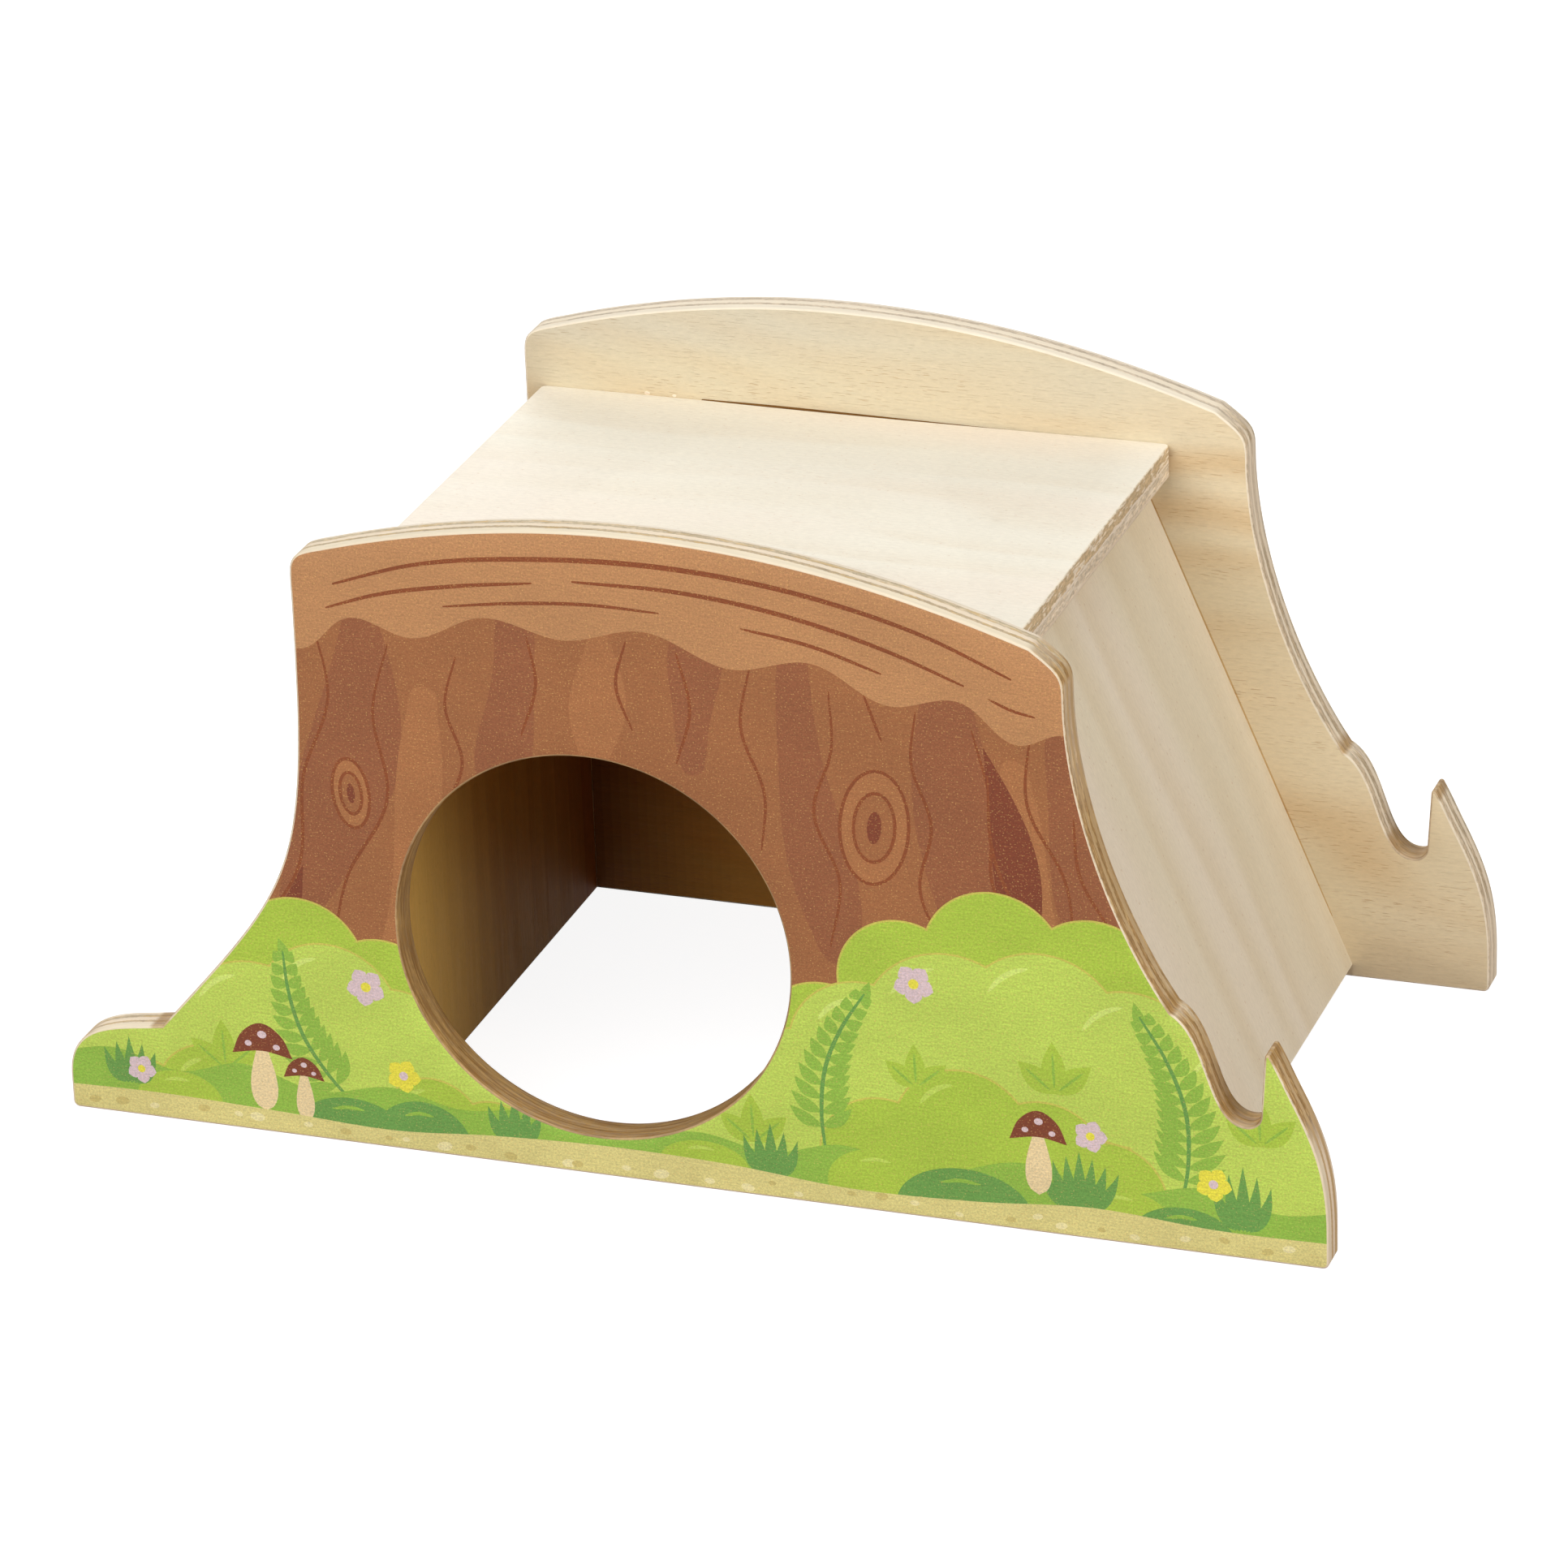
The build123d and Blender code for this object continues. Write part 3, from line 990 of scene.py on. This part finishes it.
def cut_edge(s, wood, cut, burnt, plies):
    """The colour and the height of a board's edges. A ply looks dark and mottled where its grain
    points out of the edge, and its neighbours there look light."""
    out_along, out_across, out_face = s.parts(cut)
    along, _, depth = s.parts(wood)
    slow = s.times(s.math("SUBTRACT", s.noise(wood, 0.12, 0.12, 0.1, 3.0), 0.5), 0.8)
    quick = s.times(s.math("SUBTRACT", s.noise(wood, 1.6, 1.6, 0.5, 3.0), 0.5), 0.45)
    strayed = s.math("ADD", depth, s.math("ADD", slow, quick))
    share = s.math("DIVIDE", strayed, ply_thickness)
    crosswise = s.ramp(share, plies.starts, [(0, 0, 0, 1), (1, 1, 1, 1)] * 2 + [(0, 0, 0, 1)])
    ends = s.fit(s.blend(crosswise, out_along, out_across), 0.04, 0.6)
    ends = s.times(ends, s.fit(out_along, 0.93, 0.995, 1.0, plies.upright))
    if plies.clean:
        ends = s.times(ends, s.fit(along, *plies.clean, 1.0, 0.1))

    streaks = s.noise(wood, 0.1, 0.1, 1.9, 3.0, 0.65)
    crumbs = s.noise(wood, 0.8, 0.8, 1.7, 3.0, 0.7)
    pale = s.fit(s.noise(wood, 0.35, 0.35, 1.6, 3.0), 0.52, 0.62, 0.0, 0.75)
    long_side = s.shade(s.ramp(share, plies.starts, plies.long_grain), streaks, 0.3, 0.7, 1.03, 0.92)
    end_side = s.shade(s.ramp(share, plies.starts, plies.end_grain), crumbs, 0.3, 0.7, 1.16, 0.76)
    end_side = s.shade(s.mix(pale, end_side, plies.fibres), streaks, 0.3, 0.7, 1.12, 0.84)
    edge = s.mix(ends, long_side, end_side)

    scorch = s.mix(s.fit(streaks, 0.36, 0.64), burnt_light, burnt_dark)
    scorch = s.shade(scorch, crumbs, 0.3, 0.7, 1.15, 0.85)
    edge = s.mix(s.times(burnt, s.fit(crumbs, 0.3, 0.6, 1.0, 0.85)), edge, scorch)
    sanded = s.times(s.fit(out_face, 0.05, 0.4), s.fit(crumbs, 0.4, 0.6, 0.75, 0.25))
    sanded = s.times(sanded, s.math("SUBTRACT", 1.0, s.times(burnt, 0.8)))
    return s.mix(sanded, edge, plies.long_grain[0]), s.math("ADD", streaks, crumbs)


def plywood(name, veneer, plies, gloss=0.2):
    """Bare plywood: a veneer on both faces, and edges that show the plies."""
    s = Shading(name)
    wood = s.attribute("wood", "Vector")
    cut = s.attribute("cut", "Vector")
    burnt = s.attribute("burnt", "Fac")
    face, face_height = veneer_face(s, wood, veneer)
    edge, edge_height = cut_edge(s, wood, cut, burnt, plies)
    is_face = s.math("GREATER_THAN", s.parts(cut)[2], 0.97)
    roughness = s.blend(is_face, 0.8, s.fit(face_height, 0.2, 0.8, 0.52, 0.7))
    height = s.blend(is_face, edge_height, face_height)
    colour = s.mix(1.0, s.mix(is_face, edge, face), s.attribute("ink", "Color"), "MULTIPLY")
    return s.finish(colour, roughness, gloss, height, 0.05)


front_plies = Plies(
    (0.0, 0.3, 0.44, 0.64, 0.84),
    screens((232, 218, 192), (196, 166, 122), (236, 219, 194), (192, 162, 118), (234, 220, 198)),
    screens((168, 133, 87), (196, 175, 144), (164, 129, 82), (206, 187, 156), (174, 141, 95)),
    screen(206, 175, 123), 0.6, clean_foot,
)
back_plies = Plies(
    (0.0, 0.28, 0.42, 0.66, 0.84),
    screens((238, 226, 204), (238, 224, 200), (240, 226, 202), (236, 222, 198), (238, 226, 206)),
    screens((198, 177, 147), (206, 188, 164), (192, 171, 140), (208, 190, 166), (198, 180, 152)),
    screen(226, 208, 180), 0.5,
)
roof_plies = Plies(
    (0.0, 0.46, 0.53, 0.88, 0.95),
    screens((242, 232, 212), (236, 223, 204), (240, 228, 208), (230, 214, 192), (240, 230, 212)),
    screens((206, 182, 144), (232, 214, 186), (224, 208, 182), (214, 198, 172), (222, 208, 182)),
    screen(246, 234, 214), 1.0,
)

# The back veneer's fourth colour is painted light, for the right part of the back board
back_veneer = Veneer(*screens((207, 197, 174), (211, 180, 133), (216, 201, 168), (231, 215, 181)),
                     13.0, 0.22, 7.0, 0.5, 0.62, 0.02, 0.42, 0.0)
roof_veneer = Veneer(*screens((243, 236, 219), (238, 227, 206), (244, 230, 213), (243, 236, 219)),
                     13.0, 0.04, 5.0, 0.2, 0.5, 0.012, 0.16, 0.2)
right_veneer = Veneer(*screens((226, 213, 191), (209, 190, 154), (220, 208, 180), (226, 213, 191)),
                      13.0, 0.0, 2.2, 0.3, 0.42, 0.014, 0.08, 0.3)
left_veneer = Veneer(*screens((234, 214, 176), (218, 192, 146), (228, 204, 160), (234, 214, 176)),
                     8.0, 0.0, 2.2, 0.4, 0.6, 0.02, 0.15, 0.2)


def print_ink():
    """Inks of a print on plywood: speckled, with the wood's grain and a few bare pores."""
    s = Shading("print_ink")
    wood = s.attribute("wood", "Vector")
    ink = s.attribute("ink", "Color")
    tone = s.noise(wood, 2.4, 2.8, 0.0, 3.0, 0.85)
    grain = s.noise(wood, 0.3, 3.2, 0.0, 3.0, 0.6)
    cloud = s.noise(wood, 0.05, 0.08, 0.0)
    dots = s.fit(s.noise(wood, 3.4, 3.8, 5.0, 0.0), 0.66, 0.8, 0.0, 0.45)
    pores = s.fit(s.noise(wood, 0.6, 4.6, 0.0, 1.0), 0.66, 0.78, 0.0, 0.28)
    colour = s.shade(ink, tone, 0.25, 0.75, 0.76, 1.26)
    colour = s.shade(colour, grain, 0.25, 0.75, 0.93, 1.07)
    colour = s.shade(colour, cloud, 0.3, 0.7, 0.96, 1.05)
    colour = s.mix(s.math("MAXIMUM", dots, pores), colour, screen(232, 192, 118))
    roughness = s.fit(tone, 0.2, 0.8, 0.42, 0.6)
    return s.finish(colour, roughness, 0.35, s.math("ADD", grain, s.times(tone, 0.5)), 0.03)


def beech():
    """Turned beech for the dowels: pale brown with short dark rays along the grain."""
    s = Shading("beech")
    place = s.node("TexCoord", {}).outputs["Object"]
    rays = s.noise(place, 900.0, 300.0, 900.0)
    colour = s.mix(s.fit(rays, 0.35, 0.7), screen(222, 190, 150), screen(186, 145, 104))
    return s.finish(colour, s.fit(rays, 0.3, 0.7, 0.5, 0.65), 0.4, rays, 0.03)


# Camera and stage. The camera's turns are its azimuth, elevation and roll
camera_place = (0.38242, -1.05495, 0.54934)
camera_turns = (19.93, 24.01, -2.025)
camera_lens = 163.24
floor_half = 4.0
lamp_distance = 1.5


def camera():
    azimuth, elevation, roll = (radians(angle) for angle in camera_turns)
    lens = bpy.data.cameras.new("camera")
    lens.lens = camera_lens
    lens.sensor_width = 36.0
    lens.clip_start, lens.clip_end = 0.05, 20.0
    turn = Matrix.Rotation(azimuth, 4, "Z") @ Matrix.Rotation(pi / 2 - elevation, 4, "X")
    turn = turn @ Matrix.Rotation(roll, 4, "Z")
    made = add_object("camera", lens)
    made.matrix_world = Matrix.Translation(camera_place) @ turn
    bpy.context.scene.camera = made
    bpy.context.scene.view_settings.view_transform = "Standard"


def paper():
    """The floor: white to the camera but for the object's shadow, and dim for all other light."""
    s = Shading("paper")
    seen = s.seen_directly()
    place = s.node("NewGeometry", {}).outputs["Position"]
    distance = s.node("VectorMath", {0: place}, operation="LENGTH").outputs["Value"]
    glow = s.fit(distance, 0.3, 0.9, 0.9, 1.0)
    bounce = s.mix(seen, (0.22, 0.105, 0.03, 1), (0.32, 0.32, 0.32, 1))
    s.fill(s.surface, {"Base Color": bounce, "Roughness": 0.9, "Specular IOR Level": 0.0,
                       "Emission Color": (1, 1, 1, 1), "Emission Strength": s.times(seen, glow)})
    return s.material


def stage():
    """A white floor, and a white surround whose light comes from above more than from the sides."""
    square = [(floor_half * x, floor_half * y, 0) for x, y in ((-1, -1), (1, -1), (1, 1), (-1, 1))]
    mesh = bpy.data.meshes.new("floor")
    mesh.from_pydata(square, [], [(0, 1, 2, 3)])
    mesh.materials.append(paper())
    floor = add_object("floor", mesh)

    world = bpy.data.worlds.new("surround")
    bpy.context.scene.world = world
    world.use_nodes = True
    s = Nodes(world.node_tree)
    height = s.parts(s.node("TexCoord", {}).outputs["Generated"])[2]
    strength = s.blend(s.seen_directly(), s.fit(height, 0.0, 1.0, 0.08, 0.52), 1.0)
    s.fill(world.node_tree.nodes["Background"], {"Color": (1, 1, 1, 1), "Strength": strength})


def lamp(name, way, size, level):
    """A square soft lamp in a direction from the object, which lights a surface that faces it to
    about the given share of white."""
    light = bpy.data.lights.new(name, "AREA")
    light.size = size
    light.energy = level * (pi * lamp_distance) ** 2
    made = add_object(name, light)
    made.location = Vector(way).normalized() * lamp_distance
    made.rotation_mode = "QUATERNION"
    made.rotation_quaternion = (-made.location).to_track_quat("-Z", "Y")


camera()
stage()
lamp("key", (-0.25, -0.75, 0.61), 1.2, 0.75)
lamp("fill", (0.84, -0.35, 0.42), 1.0, 0.55)
lamp("rear", (-0.5, 0.8, 0.33), 1.0, 0.36)

# Boards
front_ply = plywood("front_ply", back_veneer, front_plies)
back_ply = plywood("back_ply", back_veneer, back_plies)
roof_ply = plywood("roof_ply", roof_veneer, roof_plies)
left_ply = plywood("left_ply", left_veneer, back_plies, 0.08)
right_ply = plywood("right_ply", right_veneer, back_plies)
ink = print_ink()
pegs = beech()

leaning_out = leaning_side()[0]
down_the_slope = Vector((0, 1, 0)).cross(leaning_out)
front = Board("front_panel", forward, rightward)
back = Board("back_panel", forward, rightward)
roof = Board("roof_board", upward, rightward)
left = Board("left_wall", rightward, upward)
right = Board("right_wall", leaning_out, down_the_slope)
open_seam(roof)

front_board = front.make(front_seed, [front_ply, ink], stump_artwork(front))
# The back board carries painted shade inside the house and painted shadow in the seam and along the leaning
# wall's joint
back_board = back.make(back_seed, [back_ply], back_stains_and_painted_shade())
roof_board = roof.make(roof_seed, [roof_ply])
# The left wall's inner face carries painted shade that darkens towards its back side, and its rims carry
# the darkest painted shade
left_board = left.make(left_seed, [left_ply], wall_painted_shade_strips(left), wall_far_painted_shade)
right_board = right.make(right_seed, [right_ply])

for name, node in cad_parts.items():
    if name.endswith("_dowels"):
        node.material_slots[0].material = pegs
